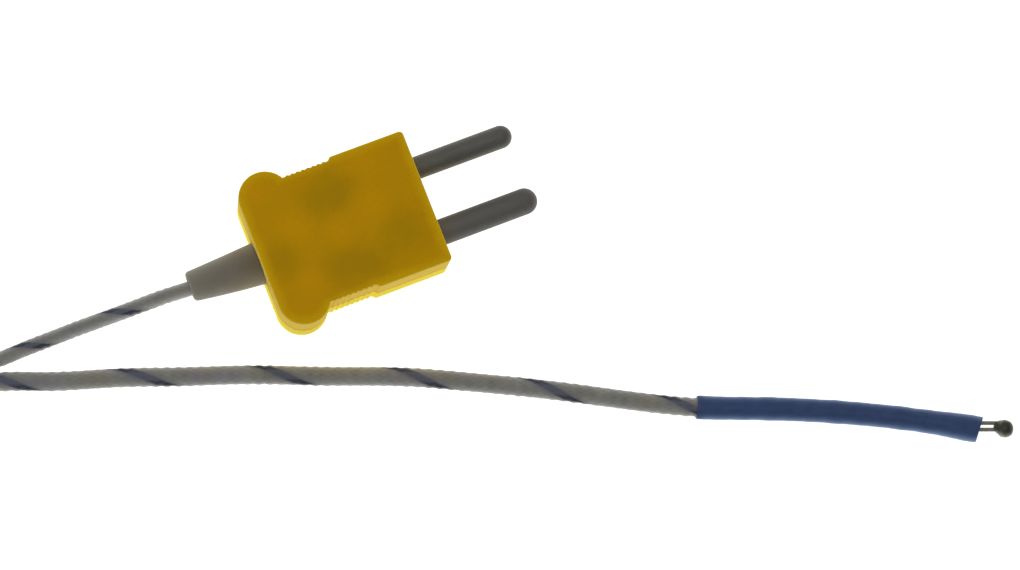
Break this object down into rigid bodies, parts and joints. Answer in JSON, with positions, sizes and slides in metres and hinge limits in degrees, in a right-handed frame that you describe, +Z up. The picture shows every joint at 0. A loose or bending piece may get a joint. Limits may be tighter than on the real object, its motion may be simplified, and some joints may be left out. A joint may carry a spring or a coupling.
{
  "type": "thermocouple probe",
  "caption": "Two-pin thermocouple plug with ribbed waist, rubber boot, braided cable, shrink sleeve and a bare welded bead at the tip.",
  "frame": {"origin": "middle of the plug's underside, on the surface that it lies on", "axes": "+X out of the front face along the pins, +Y towards the thinner positive pin, +Z up from the underside"},
  "size_m": [0.2072, 0.1031, 0.0127],
  "materials": {
    "plug_plastic": "fine moulded texture",
    "pin_alloy": "turned, slightly dull",
    "screw_steel": "plated",
    "boot_rubber": "matte",
    "cable_braid": "glass-fibre braid with a dark blue tracer",
    "core_braid": "fine braid",
    "wire_alloy": "drawn and welded",
    "tie_nylon": "satin",
    "sleeve_film": "satin shrink film"
  },
  "bodies": {
    "root": {"plug_cap": "plug_plastic", "plug_base": "plug_plastic", "shell_screw_left": "screw_steel", "shell_screw_right": "screw_steel", "pin_positive": "pin_alloy", "pin_negative": "pin_alloy", "terminal_screw_positive": "screw_steel", "terminal_screw_negative": "screw_steel", "terminal_washer_positive": "screw_steel", "terminal_washer_negative": "screw_steel", "boot": "boot_rubber", "cable_in_boot": "cable_braid", "core_positive": "core_braid", "core_negative": "core_braid", "conductor_positive": "wire_alloy", "conductor_negative": "wire_alloy", "cable_plug_stretch": "cable_braid", "cable_coil": "cable_braid", "coil_tie": "tie_nylon", "cable_probe_stretch": "cable_braid", "heat_shrink_sleeve": "sleeve_film", "tip_core_positive": "core_braid", "tip_core_negative": "core_braid", "measuring_junction": "wire_alloy"}
  },
  "joints": []
}
